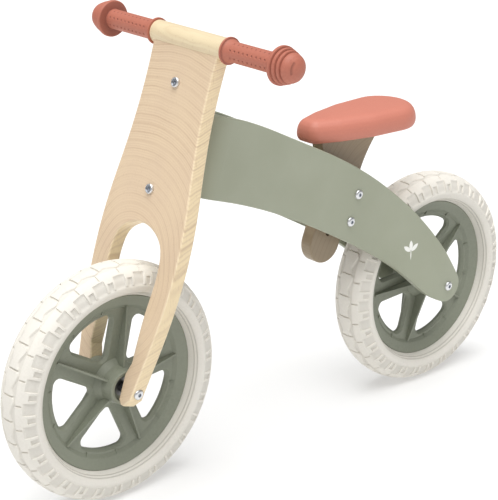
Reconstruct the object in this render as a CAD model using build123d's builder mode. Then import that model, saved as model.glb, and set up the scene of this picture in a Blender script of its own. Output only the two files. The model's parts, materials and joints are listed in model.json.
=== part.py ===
# Balance bike: a bent-ply frame, a one-piece beech fork board that steers about a
# pin behind it, two 12-inch foam-tyred wheels and a height-adjustable seat.
# Millimetres. +X forward, +Y to the rider's left, +Z up.
# Origin: on the ground, halfway between the two axles.
from build123d import *
from math import cos, radians, sin, sqrt
import os

os.makedirs("parts", exist_ok=True)

# ---------------------------------------------------------------- driving sizes
WHEELBASE = 527.0
TYRE_R = 145.0              # rolling radius of a 12-inch tyre
RAKE = 18.0                 # the fork board leans back by this angle
BOARD_T = 19.0              # fork board thickness
PLY = 11.0                  # bent-ply wall
RUN = 0.05                  # radial clearance of every running fit
GAP = 0.3                   # air between pieces that move past each other
AXLE_R = 4.0
BOLT_R = 3.0                # every M6 shank
REAR_X, FRONT_X = -WHEELBASE / 2, WHEELBASE / 2

# The fork plane: local x is +Y, local y runs up the board from the front axle,
# local z points forward out of the board. The board's middle lies in it.
fork_plane = Plane(
    origin=(FRONT_X, 0, TYRE_R),
    x_dir=(0, 1, 0),
    z_dir=(cos(radians(RAKE)), 0, sin(radians(RAKE))),
)


def fork_level(height, behind=0.0):
    """The plane square to the steering axis, this far up the board and behind its middle.

    Its local x is +Y and its local y points backwards, away from the board."""
    origin = fork_plane.from_local_coords((0, height, -behind))
    return Plane(origin=origin, x_dir=(0, 1, 0), z_dir=fork_plane.y_dir)


def bolt_plane(height):
    """The plane of the board's front face at a connector bolt."""
    return Plane(
        origin=fork_plane.from_local_coords((0, height, BOARD_T / 2)),
        x_dir=fork_plane.x_dir, z_dir=fork_plane.z_dir,
    )


def on_side(height, behind):
    """A point of the bike's middle plane, given up and behind the board, for Plane.XZ."""
    point = fork_plane.from_local_coords((0, height, -behind))
    return (point.X, point.Z)


def side_axis(x, z, y=0.0, outward=1):
    """A plane on an axis that runs across the bike; its normal is +Y, or -Y for the right."""
    return Plane(origin=(x, outward * y, z), x_dir=(1, 0, 0), z_dir=(0, outward, 0))


def turned(plane, outline):
    """Revolve an outline of (radius, distance along the normal) about the plane's normal."""
    section = Plane(origin=plane.origin, x_dir=plane.x_dir, z_dir=-plane.y_dir)
    with BuildSketch(section) as half_section:
        with BuildLine():
            Polyline(*outline, close=True)
        make_face()
    revolve(half_section.sketch, axis=Axis(plane.origin, plane.z_dir))


def drill(plane, radius, depth, both=False):
    """A round hole about the plane's normal, cut backwards from the plane."""
    with BuildSketch(plane) as hole:
        Circle(radius)
    extrude(hole.sketch, amount=-depth, both=both, mode=Mode.SUBTRACT)


def save(piece, name):
    piece.label = name
    export_step(piece, f"parts/{name}.step")


# ---------------------------------------------------------------- shared fasteners
HEAD_R, HEAD_T, SOCKET_R, SOCKET_DEPTH = 6.2, 3.4, 3.4, 1.6


def bolt(plane, reach, shank_r=BOLT_R):
    """A button-head bolt: the head stands on the plane, the shank runs behind it."""
    turned(plane, [
        (0, -reach), (shank_r, -reach), (shank_r, 0), (HEAD_R, 0), (HEAD_R, HEAD_T * 0.45),
        (HEAD_R - 0.7, HEAD_T * 0.8), (HEAD_R - 1.8, HEAD_T), (SOCKET_R, HEAD_T),
        (SOCKET_R, HEAD_T - SOCKET_DEPTH), (0, HEAD_T - SOCKET_DEPTH),
    ])


# ---------------------------------------------------------------- fork board
BAR_H = 403.6               # height of the handlebar's centre up the board
BAR_R = 13.5
BOARD_TOP = 396.0
FOOT_BOTTOM = -18.0
FOOT_EDGE = 51.5            # half-width across the feet
FOOT_INNER = 32.0
ARCH_TOP = 188.9
UPPER_BOLT_H, LOWER_BOLT_H = 353.7, 229.1
BOARD_ARRIS = 2.5
BAR_PIN_R, BAR_PIN_LENGTH, BAR_PIN_Y = 4.0, 26.0, 34.0
AXLE_HEAD_Y = 52.0          # where the front axle's bolt heads seat
bar_pin_plane = fork_level(BAR_H - 18)


def bar_pin_sockets():
    """The two blind sockets for the pins that join handlebar and board."""
    with BuildSketch(bar_pin_plane) as sockets:
        with Locations((BAR_PIN_Y, 0), (-BAR_PIN_Y, 0)):
            Circle(BAR_PIN_R + RUN)
    extrude(sockets.sketch, amount=BAR_PIN_LENGTH / 2, both=True, mode=Mode.SUBTRACT)


with BuildPart() as fork_board:
    with BuildSketch(fork_plane):
        with BuildLine():
            Line((0, ARCH_TOP), (0, BOARD_TOP))
            Line((0, BOARD_TOP), (56, BOARD_TOP))
            Spline(
                (56, BOARD_TOP), (55, 345), (57.2, 304), (64, 250), (70.5, 203),
                (73, 150), (71, 110), (64, 59), (54, 6), (FOOT_EDGE, -8),
            )
            Line((FOOT_EDGE, -8), (FOOT_EDGE - 10, FOOT_BOTTOM))
            Line((FOOT_EDGE - 10, FOOT_BOTTOM), (FOOT_INNER + 5, FOOT_BOTTOM))
            Line((FOOT_INNER + 5, FOOT_BOTTOM), (FOOT_INNER, -13))
            Line((FOOT_INNER, -13), (FOOT_INNER, 18))
            Line((FOOT_INNER, 18), (38.3, 33))
            Spline(
                (38.3, 33), (40, 95), (43.3, 150), (36.4, 172), (20.5, 184.3), (0, ARCH_TOP),
                tangents=[(0, 1), (-1, 0)],
            )
        make_face()
        mirror(about=Plane.YZ)
    extrude(amount=BOARD_T / 2, both=True)
    fillet(faces().filter_by(Axis(fork_plane.origin, fork_plane.z_dir)).edges(), BOARD_ARRIS)
    drill(side_axis(*on_side(BAR_H, 0)), BAR_R + RUN, BAR_H, both=True)
    drill(side_axis(*on_side(0, 0)), AXLE_R + RUN, BAR_H, both=True)
    for side in (1, -1):
        drill(side_axis(*on_side(0, 0), AXLE_HEAD_Y + HEAD_T, side), HEAD_R + GAP, HEAD_T)
    for height in (UPPER_BOLT_H, LOWER_BOLT_H):
        drill(bolt_plane(height), BOLT_R + RUN, BOARD_T)
    bar_pin_sockets()
save(fork_board.part, "fork_board")

# ---------------------------------------------------------------- handlebar and grips
BAR_WOOD = 62.0             # half-length of the full-diameter wood between the grips
SPIGOT_R, SPIGOT_END = 9.0, 168.0
bar_plane = side_axis(*on_side(BAR_H, 0))

with BuildPart() as handlebar:
    bar_half = [(BAR_R, 0), (BAR_R, BAR_WOOD - 1), (BAR_R - 1, BAR_WOOD)]
    bar_half += [(SPIGOT_R, BAR_WOOD), (SPIGOT_R, SPIGOT_END), (0, SPIGOT_END)]
    turned(bar_plane, [(0, 0)] + bar_half)
    mirror(about=Plane.XZ)
    bar_pin_sockets()
save(handlebar.part, "handlebar")

with BuildPart() as handlebar_pins:
    with BuildSketch(bar_pin_plane):
        with Locations((BAR_PIN_Y, 0), (-BAR_PIN_Y, 0)):
            Circle(BAR_PIN_R)
    extrude(amount=BAR_PIN_LENGTH / 2 - GAP, both=True)
save(handlebar_pins.part, "handlebar_pins")

GRIP_R = 11.75
COLLAR_R, COLLAR_W = 16.0, 3.0
GRIP_RINGS = ((146.0, 22.0), (151.5, 20.3), (157.0, 18.6))  # start and radius of each ring
RING_W, RING_NECK_R = 4.5, 15.0
DOME_START, DOME_R, GRIP_END = 162.5, 17.0, 176.0


def make_grip(side, name):
    """A moulded sleeve: collar, tube, three stepped rings and a domed end."""
    start = BAR_WOOD + RUN
    outline = [(SPIGOT_R + RUN, start), (COLLAR_R, start), (COLLAR_R, start + COLLAR_W)]
    outline += [(GRIP_R, start + COLLAR_W + 1.5), (GRIP_R, GRIP_RINGS[0][0])]
    for ring_start, ring_r in GRIP_RINGS:
        outline += [(ring_r, ring_start), (ring_r, ring_start + RING_W)]
        outline += [(RING_NECK_R, ring_start + RING_W)]
    outline += [(RING_NECK_R, DOME_START), (DOME_R, DOME_START), (DOME_R, DOME_START + 2.5)]
    outline += [(DOME_R - 2.5, DOME_START + 8), (DOME_R - 9, DOME_START + 12)]
    outline += [(0, GRIP_END), (0, SPIGOT_END + GAP), (SPIGOT_R + RUN, SPIGOT_END + GAP)]
    with BuildPart() as grip:
        turned(side_axis(*on_side(BAR_H, 0), 0, side), outline)
    save(grip.part, name)


make_grip(1, "left_grip")
make_grip(-1, "right_grip")

# ---------------------------------------------------------------- steering hinge
# A wood arm above and one below the frame's nose carry the steering pin. The pin
# turns in two bushes in the block glued inside the nose. Distances "behind" are
# measured from the middle of the fork board.
PIN_BEHIND, PIN_R = 36.5, 4.0
NOSE_BEHIND, NOSE_R = 55.0, 39.5
NOSE_TOP, NOSE_BOTTOM = 328.6, 231.6
NOTCH_TOP, NOTCH_HALF = 242.8, 28.0
NOTCH_LENGTH, NOTCH_CORNER = 40.0, 5.0
UPPER_ARM = (332.6, 364.6)  # lower and upper ends of the arm above the nose
LOWER_ARM = (216.6, 241.0)
ARM_HALF, ARM_END_R = 16.0, 9.5
BARREL_R, BARREL_BEHIND = 5.0, 21.0
BUSH_R, BUSH_LENGTH, FLANGE_R, FLANGE_T = 7.0, 20.0, 9.0, 1.5
BARREL_HALF = 9.0
PIN_PROUD, CAP_T = 3.0, 1.2
BLOCK_TOP = NOSE_TOP - 4    # the block glued in the nose stops below the frame's edge


def make_arm(ends, bolt_h, name):
    """A tapered block on the back of the board, bored for the pin and the barrel nut."""
    with BuildPart() as arm:
        with BuildSketch(fork_level(ends[0])):
            with BuildLine():
                CenterArc((0, PIN_BEHIND), ARM_END_R, 0, 180)
                Line((-ARM_END_R, PIN_BEHIND), (-ARM_HALF, BOARD_T / 2))
                Line((-ARM_HALF, BOARD_T / 2), (ARM_HALF, BOARD_T / 2))
                Line((ARM_HALF, BOARD_T / 2), (ARM_END_R, PIN_BEHIND))
            make_face()
        extrude(amount=ends[1] - ends[0])
        drill(fork_level(ends[1], PIN_BEHIND), PIN_R + RUN, ends[1] - ends[0])
        drill(bolt_plane(bolt_h), BOLT_R + RUN, BOARD_T / 2 + BARREL_BEHIND + BARREL_R)
        drill(side_axis(*on_side(bolt_h, BARREL_BEHIND)), BARREL_R + RUN, ARM_HALF, both=True)
    save(arm.part, name)


make_arm(UPPER_ARM, UPPER_BOLT_H, "upper_steering_arm")
make_arm(LOWER_ARM, LOWER_BOLT_H, "lower_steering_arm")

with BuildPart() as connector_bolts:
    for height in (UPPER_BOLT_H, LOWER_BOLT_H):
        bolt(bolt_plane(height), BOARD_T / 2 + BARREL_BEHIND + BARREL_R - 1)
save(connector_bolts.part, "connector_bolts")

with BuildPart() as barrel_nuts:
    for height in (UPPER_BOLT_H, LOWER_BOLT_H):
        with BuildSketch(side_axis(*on_side(height, BARREL_BEHIND))):
            Circle(BARREL_R)
        extrude(amount=BARREL_HALF, both=True)
        drill(bolt_plane(height), BOLT_R + RUN, BOARD_T * 2)
save(barrel_nuts.part, "barrel_nuts")

with BuildPart() as steering_pin:
    with BuildSketch(fork_level(LOWER_ARM[0] - PIN_PROUD, PIN_BEHIND)):
        Circle(PIN_R)
    extrude(amount=UPPER_ARM[1] - LOWER_ARM[0] + 2 * PIN_PROUD)
save(steering_pin.part, "steering_pin")

with BuildPart() as pin_caps:
    cap = [(PIN_R + RUN, RUN), (PIN_R + RUN, PIN_PROUD + RUN), (0, PIN_PROUD + RUN)]
    cap += [(0, PIN_PROUD + CAP_T), (PIN_R, PIN_PROUD + CAP_T), (PIN_R + 2.5, PIN_PROUD - 1)]
    cap += [(PIN_R + 2.5, RUN)]
    turned(fork_level(UPPER_ARM[1], PIN_BEHIND), cap)
    below = fork_level(LOWER_ARM[0], PIN_BEHIND)
    turned(Plane(origin=below.origin, x_dir=below.x_dir, z_dir=-below.z_dir), cap)
save(pin_caps.part, "pin_caps")

with BuildPart() as steering_washer:
    washer_bottom = BLOCK_TOP + FLANGE_T + GAP
    washer_t = UPPER_ARM[0] - washer_bottom - RUN
    turned(fork_level(washer_bottom, PIN_BEHIND), [
        (PIN_R + RUN, 0), (FLANGE_R, 0), (FLANGE_R, washer_t), (PIN_R + RUN, washer_t),
    ])
save(steering_washer.part, "steering_washer")

with BuildPart() as steering_bushes:
    bush = [(PIN_R + RUN, FLANGE_T), (FLANGE_R, FLANGE_T), (FLANGE_R, RUN), (BUSH_R, RUN)]
    bush += [(BUSH_R, -BUSH_LENGTH), (PIN_R + RUN, -BUSH_LENGTH)]
    turned(fork_level(BLOCK_TOP, PIN_BEHIND), bush)
    below = fork_level(NOTCH_TOP, PIN_BEHIND)
    turned(Plane(origin=below.origin, x_dir=below.x_dir, z_dir=-below.z_dir), bush)
save(steering_bushes.part, "steering_bushes")

BLOCK_BACK = 82.0
block_half = NOSE_R - PLY - RUN
with BuildPart() as head_block:
    with BuildSketch(fork_level(NOTCH_TOP)):
        with BuildLine():
            CenterArc((0, NOSE_BEHIND), block_half, 180, 180)
            Polyline(
                (block_half, NOSE_BEHIND), (block_half, BLOCK_BACK),
                (-block_half, BLOCK_BACK), (-block_half, NOSE_BEHIND),
            )
        make_face()
    extrude(amount=BLOCK_TOP - NOTCH_TOP)
    drill(fork_level(BLOCK_TOP, PIN_BEHIND), PIN_R + 1, BLOCK_TOP - NOTCH_TOP)
    for end in (BLOCK_TOP, NOTCH_TOP + BUSH_LENGTH + RUN):
        drill(fork_level(end, PIN_BEHIND), BUSH_R + RUN, BUSH_LENGTH + RUN)
save(head_block.part, "head_block")

# ---------------------------------------------------------------- bent-ply frame
# One strip of ply, bent round a nose in front and spread at the back to pass the
# wheel. Its plan is drawn square to the steering axis, and its side outline cuts it.
MID_HALF, REAR_HALF = NOSE_R - PLY / 2, 48.0    # half-widths to the middle of the wall
FLARE_START, FLARE_END = 352.0, 478.0
REAR_REACH = 560.0
NOSE_STRAIGHT = 10.0        # how far the nose's level edges run behind its bend
FRAME_ARRIS = 1.5
FLARE_BEND = 120.0
REAR_END_R = 22.3
SEAT_LEAN = 20.6
SEAT_BOLT = (-86.5, 272.0)  # the lower seat bolt
SEAT_BOLT_PITCH = 35.6
seat_axis = Vector(-sin(radians(SEAT_LEAN)), 0, cos(radians(SEAT_LEAN)))
seat_bolts_at = [
    (SEAT_BOLT[0] + seat_axis.X * up, SEAT_BOLT[1] + seat_axis.Z * up)
    for up in (0.0, SEAT_BOLT_PITCH)
]
nose_slope = (cos(radians(RAKE)), sin(radians(RAKE)))


def rear_end_point(angle):
    """A point on the rounded rear end, and the direction of its edge there."""
    point = (REAR_X + REAR_END_R * cos(radians(angle)), TYRE_R + REAR_END_R * sin(radians(angle)))
    return point, (-sin(radians(angle)), cos(radians(angle)))


with BuildPart() as bent_frame:
    with BuildSketch(fork_level(0)):
        with BuildLine() as strip:
            FilletPolyline(
                (REAR_HALF, REAR_REACH), (REAR_HALF, FLARE_END), (MID_HALF, FLARE_START),
                (MID_HALF, NOSE_BEHIND), radius=FLARE_BEND,
            )
            CenterArc((0, NOSE_BEHIND), MID_HALF, 0, -180)
            FilletPolyline(
                (-MID_HALF, NOSE_BEHIND), (-MID_HALF, FLARE_START), (-REAR_HALF, FLARE_END),
                (-REAR_HALF, REAR_REACH), radius=FLARE_BEND,
            )
        trace(strip.line, line_width=PLY)
    extrude(amount=BAR_H)
    with BuildSketch(Plane.XZ):
        with BuildLine():
            nose_top = on_side(NOSE_TOP, NOSE_BEHIND + NOSE_STRAIGHT)
            nose_bottom = on_side(NOSE_BOTTOM, NOSE_BEHIND + NOSE_STRAIGHT)
            top_end, top_direction = rear_end_point(148)
            low_end, low_direction = rear_end_point(290)
            Line(on_side(NOSE_TOP, 0), nose_top)
            Spline(
                nose_top, (25.2, 404.3), (-62.8, 360), (-151.6, 303.3), (-236.5, 221.6), top_end,
                tangents=[(-nose_slope[0], -nose_slope[1]), top_direction],
            )
            ThreePointArc(top_end, rear_end_point(219)[0], low_end)
            Spline(
                low_end, (-190.4, 171.9), (-71.2, 251.9), (34.9, 307.5), nose_bottom,
                tangents=[low_direction, nose_slope],
            )
            Line(nose_bottom, on_side(NOSE_BOTTOM, 0))
            Line(on_side(NOSE_BOTTOM, 0), on_side(NOSE_TOP, 0))
        make_face()
    extrude(amount=REAR_HALF * 2, both=True, mode=Mode.INTERSECT)
    with BuildSketch(fork_plane):
        with Locations((0, NOTCH_TOP - NOTCH_LENGTH / 2)):
            RectangleRounded(2 * NOTCH_HALF, NOTCH_LENGTH, NOTCH_CORNER)
    extrude(amount=-NOSE_BEHIND, mode=Mode.SUBTRACT)
    fillet(edges(), FRAME_ARRIS)
    drill(side_axis(REAR_X, TYRE_R), AXLE_R + RUN, REAR_HALF * 2, both=True)
    for x, z in seat_bolts_at:
        drill(side_axis(x, z), BOLT_R + RUN, REAR_HALF * 2, both=True)
save(bent_frame.part, "bent_frame")

# ---------------------------------------------------------------- seat
# The post slides between two pairs of spacers on a slot, along its own leaning axis.
POST_T = 18.0
POST_HALF = 26.0
POST_ARRIS = 2.0
POST_FOOT = 36.8            # from the lower bolt down to the centre of the round foot
SEAT_TRAVEL = 24.0          # upwards from where the seat is drawn
SLOT_PLAY = 0.2
SEAT_BASE_Z, SEAT_BASE_T = 374.0, 8.0
PAD_TOP = 404.5
PAD_CIRCLES = (              # x, half the spacing across, radius
    (-175.8, 0.0, 44.8), (-130.0, 0.0, 41.8), (-82.0, 16.0, 15.5), (-54.0, 6.0, 15.0),
)
PAD_TOP_ROUND, PAD_BOTTOM_ROUND = 14.0, 10.0
PAD_MARGIN = 13.0           # how far the base plate sits inside the pad's edge
SCREW_R, SCREW_HEAD_R, SCREW_LENGTH = 2.0, 4.0, 30.0
screw_places = (-150.0, -115.0, -80.0)
seat_plane = Plane(
    origin=(SEAT_BOLT[0], 0, SEAT_BOLT[1]),
    x_dir=(cos(radians(SEAT_LEAN)), 0, sin(radians(SEAT_LEAN))), z_dir=(0, -1, 0),
)
foot_centre = (
    SEAT_BOLT[0] - seat_axis.X * POST_FOOT, SEAT_BOLT[1] - seat_axis.Z * POST_FOOT
)


def beside_post(along, across):
    """A point of the post's side outline, for Plane.XZ: up its axis and forward of it."""
    return (
        foot_centre[0] + seat_axis.X * along + seat_axis.Z * across,
        foot_centre[1] + seat_axis.Z * along - seat_axis.X * across,
    )


def screw_plane(x):
    return Plane(origin=(x, 0, SEAT_BASE_Z + SEAT_BASE_T), x_dir=(1, 0, 0), z_dir=(0, 0, 1))


with BuildPart() as seat_post:
    with BuildSketch(Plane.XZ):
        with BuildLine():
            ThreePointArc(
                beside_post(0, POST_HALF), beside_post(-POST_HALF, 0), beside_post(0, -POST_HALF)
            )
            Line(beside_post(0, POST_HALF), beside_post(84, POST_HALF))
            Spline(
                beside_post(84, POST_HALF), (-64, 362), (-62, SEAT_BASE_Z),
                tangents=[(seat_axis.X, seat_axis.Z), (0, 1)],
            )
            Line((-62, SEAT_BASE_Z), (-164, SEAT_BASE_Z))
            Spline(
                (-164, SEAT_BASE_Z), (-154, 358), beside_post(96, -POST_HALF),
                tangents=[(0.35, -1), (-seat_axis.X, -seat_axis.Z)],
            )
            Line(beside_post(96, -POST_HALF), beside_post(0, -POST_HALF))
        make_face()
    extrude(amount=POST_T / 2, both=True)
    fillet(edges().filter_by(Plane.XZ).sort_by(Axis.Z)[:-2], POST_ARRIS)
    with BuildSketch(seat_plane) as slot:
        with Locations((0, (SEAT_BOLT_PITCH - SEAT_TRAVEL) / 2)):
            SlotCenterToCenter(SEAT_BOLT_PITCH + SEAT_TRAVEL, 2 * (BOLT_R + SLOT_PLAY), rotation=90)
    extrude(slot.sketch, amount=POST_T, both=True, mode=Mode.SUBTRACT)
    for x in screw_places:
        drill(screw_plane(x), SCREW_R + RUN, SCREW_LENGTH)
save(seat_post.part, "seat_post")


def pad_outline():
    """An egg: two large circles behind and two pairs of small ones, wrapped by a taut line."""
    with BuildSketch(Plane.XY.offset(SEAT_BASE_Z)) as egg:
        for x, aside, radius in PAD_CIRCLES:
            with Locations((x, aside), (x, -aside)):
                Circle(radius)
        make_hull()
    return egg.sketch


with BuildPart() as seat_pad:
    extrude(pad_outline(), amount=PAD_TOP - SEAT_BASE_Z)
    fillet(faces().sort_by(Axis.Z)[-1].edges(), PAD_TOP_ROUND)
    fillet(faces().sort_by(Axis.Z)[0].edges(), PAD_BOTTOM_ROUND)
    extrude(offset(pad_outline(), -PAD_MARGIN, mode=Mode.PRIVATE),
            amount=SEAT_BASE_T + GAP, mode=Mode.SUBTRACT)
save(seat_pad.part, "seat_pad")

with BuildPart() as seat_base:
    extrude(offset(pad_outline(), -PAD_MARGIN - RUN, mode=Mode.PRIVATE), amount=SEAT_BASE_T)
    for x in screw_places:
        drill(screw_plane(x), SCREW_R + RUN, SEAT_BASE_T)
        with Locations(screw_plane(x)):
            Cone(0.1, SCREW_HEAD_R + RUN, SCREW_HEAD_R, mode=Mode.SUBTRACT,
                 align=(Align.CENTER, Align.CENTER, Align.MAX))
save(seat_base.part, "seat_base")

with BuildPart() as seat_screws:
    for x in screw_places:
        turned(screw_plane(x), [
            (0, 0), (SCREW_HEAD_R, 0), (SCREW_R, -SCREW_HEAD_R + SCREW_R),
            (SCREW_R, -SCREW_LENGTH + 4), (0, -SCREW_LENGTH + 1),
        ])
save(seat_screws.part, "seat_screws")

# Each seat bolt is a screw from the left into a sleeve nut from the right.
SPACER_R = 9.0
panel_inner = MID_HALF - PLY / 2
panel_outer = MID_HALF + PLY / 2
SLEEVE_INNER_R = 2.0
with BuildPart() as post_spacers:
    for x, z in seat_bolts_at:
        for side in (1, -1):
            turned(side_axis(x, z, POST_T / 2 + GAP, side), [
                (BOLT_R + RUN, 0), (SPACER_R, 0), (SPACER_R, panel_inner - POST_T / 2 - GAP - RUN),
                (BOLT_R + RUN, panel_inner - POST_T / 2 - GAP - RUN),
            ])
save(post_spacers.part, "post_spacers")

with BuildPart() as seat_bolts:
    for x, z in seat_bolts_at:
        bolt(side_axis(x, z, panel_outer), panel_outer, SLEEVE_INNER_R)
save(seat_bolts.part, "seat_bolts")

with BuildPart() as seat_nuts:
    for x, z in seat_bolts_at:
        head = side_axis(x, z, panel_outer, -1)
        bolt(head, 2 * panel_outer - RUN)
        drill(side_axis(x, z, panel_outer), SLEEVE_INNER_R + RUN, panel_outer + RUN)
save(seat_nuts.part, "seat_nuts")


# ---------------------------------------------------------------- wheels
SPOKES = 5
HALF_STEP = 180 / SPOKES    # angle from a spoke to the middle of the next window
REAR_SPOKE, FRONT_SPOKE = -3.0, 30.5    # one spoke of each wheel, from +X towards +Z
RIM_R, RIM_HALF = 107.1, 13.6
CHANNEL_R, CHANNEL_HALF = 101.0, 9.4
WEB_R, WEB_HALF = 90.0, 5.0
HUB_R, HUB_HALF, HUB_MOUTH_R = 20.5, 29.5, 16.5
BEARING_R, BEARING_IN, BEARING_OUT = 11.0, 16.0, 23.0
WINDOW_SIDE = 16.0          # from a spoke's centre-line to the window's edge
WINDOW_R, WINDOW_CORNER = 84.0, 8.0
LIP = 3.0                   # bevel round each window
RIB_T, LEDGE_RIB_T, LEDGE_RIB_ANGLE = 2.4, 1.2, 14.0
TYRE_HALF = 27.7


def wheel_plane(angle):
    """The wheel's middle plane with its local x turned up from +X by the angle."""
    direction = (cos(radians(angle)), 0, sin(radians(angle)))
    return Plane(origin=(0, 0, 0), x_dir=direction, z_dir=(0, -1, 0))


def radial_plane(angle):
    """A plane through the wheel's axis: local x runs out from the hub, local y is +Y."""
    direction = (cos(radians(angle)), 0, sin(radians(angle)))
    return Plane(origin=(0, 0, 0), x_dir=direction, z_dir=(-direction[2], 0, direction[0]))


def cut_window(angle):
    """A rounded triangle whose sides run beside the two spokes."""
    along, across = cos(radians(HALF_STEP)), sin(radians(HALF_STEP))
    side_length = sqrt(WINDOW_R**2 - WINDOW_SIDE**2)
    corner = (side_length * along + WINDOW_SIDE * across,
              side_length * across - WINDOW_SIDE * along)
    with BuildSketch(wheel_plane(angle)) as window:
        with BuildLine():
            Line((WINDOW_SIDE / across, 0), corner)
            ThreePointArc(corner, (WINDOW_R, 0), (corner[0], -corner[1]))
            Line((corner[0], -corner[1]), (WINDOW_SIDE / across, 0))
        make_face()
        fillet(window.vertices(), WINDOW_CORNER)
    extrude(window.sketch, amount=RIM_HALF, both=True, mode=Mode.SUBTRACT)


def add_rib(angle, outline, thickness):
    """A thin upright rib on both faces of the web, its outline given as (radius, y)."""
    with BuildSketch(radial_plane(angle)) as rib:
        with BuildLine():
            Polyline(*outline, close=True)
        make_face()
        mirror(about=Plane.XZ)
    extrude(rib.sketch, amount=thickness / 2, both=True)


def is_lip(edge):
    """Whether an edge is part of a window's outline on either face of the web."""
    middle = edge.position_at(0.5)
    reach = sqrt(middle.X**2 + middle.Z**2)
    return abs(abs(middle.Y) - WEB_HALF) < RUN and HUB_R + 10 < reach < WEB_R - 2


def make_rim(x, spoke_angle, name):
    """A moulded wheel: hub, web with five windows, stepped outer ring, ribs on both faces."""
    with BuildPart() as rim:
        turned(side_axis(0, 0), [
            (BEARING_R - 2.5, 0), (BEARING_R - 2.5, BEARING_IN), (BEARING_R + RUN, BEARING_IN),
            (BEARING_R + RUN, BEARING_OUT), (HUB_MOUTH_R, BEARING_OUT), (HUB_MOUTH_R, HUB_HALF),
            (HUB_R - 0.8, HUB_HALF), (HUB_R, HUB_HALF - 0.8), (HUB_R + 2, 12),
            (HUB_R + 8, WEB_HALF), (WEB_R, WEB_HALF), (WEB_R + 4, WEB_HALF + 3.5),
            (RIM_R - 0.8, RIM_HALF), (RIM_R, RIM_HALF - 0.5), (RIM_R, CHANNEL_HALF),
            (CHANNEL_R, CHANNEL_HALF), (CHANNEL_R, 0),
        ])
        mirror(about=Plane.XZ)
        for number in range(SPOKES):
            cut_window(spoke_angle + (2 * number + 1) * HALF_STEP)
        chamfer(rim.edges().filter_by(is_lip), LIP)
        for number in range(SPOKES):
            spoke = spoke_angle + 2 * number * HALF_STEP
            add_rib(spoke, [(HUB_R - 0.5, 4), (HUB_R - 0.5, 21), (92, 8.5), (92, 4)], RIB_T)
            for turn in (-LEDGE_RIB_ANGLE, LEDGE_RIB_ANGLE):
                add_rib(spoke + HALF_STEP + turn, [(88, 4), (88, 6), (93, 8.5), (93, 4)],
                        LEDGE_RIB_T)
    save(rim.part.moved(Location((x, 0, TYRE_R))), name)


def make_tyre(x, name):
    """A solid foam tyre, seated in the rim's channel."""
    bead, shoulder = CHANNEL_R + 0.1, RIM_R + 0.1
    with BuildPart() as tyre:
        with BuildSketch(Plane(origin=(x, 0, TYRE_R), x_dir=(1, 0, 0), z_dir=(0, 0, 1))) as section:
            with BuildLine():
                Polyline(
                    (bead, 0), (bead, CHANNEL_HALF - 0.1), (shoulder, CHANNEL_HALF - 0.1),
                    (shoulder, RIM_HALF + 0.2),
                )
                Spline(
                    (shoulder, RIM_HALF + 0.2), (109.5, 20.5), (115, 26), (122, TYRE_HALF),
                    (133, 25.5), (141, 18), (144.6, 8), (TYRE_R, 0),
                    tangents=[(0.2, 1), (0, -1)],
                )
                Line((TYRE_R, 0), (bead, 0))
            make_face()
        axis = Axis((x, 0, TYRE_R), (0, 1, 0))
        revolve(section.sketch, axis=axis)
        mirror(about=Plane.XZ)
    save(tyre.part, name)


def make_bearings(x, name):
    """The two ball bearings of a wheel, each modelled as one plain ring."""
    with BuildPart() as bearings:
        for side in (1, -1):
            turned(side_axis(x, TYRE_R, BEARING_IN, side), [
                (AXLE_R + RUN, 0), (BEARING_R, 0), (BEARING_R, BEARING_OUT - BEARING_IN),
                (AXLE_R + RUN, BEARING_OUT - BEARING_IN),
            ])
    save(bearings.part, name)


for x, spoke_angle, wheel in ((FRONT_X, FRONT_SPOKE, "front"), (REAR_X, REAR_SPOKE, "rear")):
    make_tyre(x, f"{wheel}_tyre")
    make_rim(x, spoke_angle, f"{wheel}_rim")
    make_bearings(x, f"{wheel}_bearings")

# ---------------------------------------------------------------- axles
# Each axle is a threaded tube; a bolt from either side clamps it in the fork or frame.
AXLE_THREAD_R = 2.5
AXLE_BOLT_REACH = 14.0
SPACER_WALL = 2.5


def make_axle(x, head_y, inner_y, wheel):
    """The tube, its two bolts and the two spacers beside the bearings."""
    with BuildPart() as axle:
        with BuildSketch(side_axis(x, TYRE_R)):
            Circle(AXLE_R)
            Circle(AXLE_THREAD_R, mode=Mode.SUBTRACT)
        extrude(amount=head_y - GAP, both=True)
    save(axle.part, f"{wheel}_axle")
    with BuildPart() as bolts:
        for side in (1, -1):
            bolt(side_axis(x, TYRE_R, head_y, side), AXLE_BOLT_REACH, AXLE_THREAD_R - RUN)
    save(bolts.part, f"{wheel}_axle_bolts")
    with BuildPart() as spacers:
        for side in (1, -1):
            turned(side_axis(x, TYRE_R, BEARING_OUT + GAP, side), [
                (AXLE_R + RUN, 0), (AXLE_R + SPACER_WALL, 0),
                (AXLE_R + SPACER_WALL, inner_y - BEARING_OUT - GAP - RUN),
                (AXLE_R + RUN, inner_y - BEARING_OUT - GAP - RUN),
            ])
    save(spacers.part, f"{wheel}_spacers")


make_axle(FRONT_X, AXLE_HEAD_Y, FOOT_INNER, "front")
make_axle(REAR_X, REAR_HALF + PLY / 2, REAR_HALF - PLY / 2, "rear")
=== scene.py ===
# %% [markdown]
# # A child's balance bike
# The bike has a painted bent-ply frame, a thick beech board that is steering column and
# fork in one, moulded wheels with foam tyres, and coral seat and grips. Its working parts
# come in as a fixed frame. This lesson gives them their finishes, and remakes the parts
# whose shape is soft or finely detailed: tyres, grips, seat, screw heads.

# %% Load the fixed frame
import json
import bpy
import bmesh
import numpy as np
from mathutils import Matrix, Vector


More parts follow.
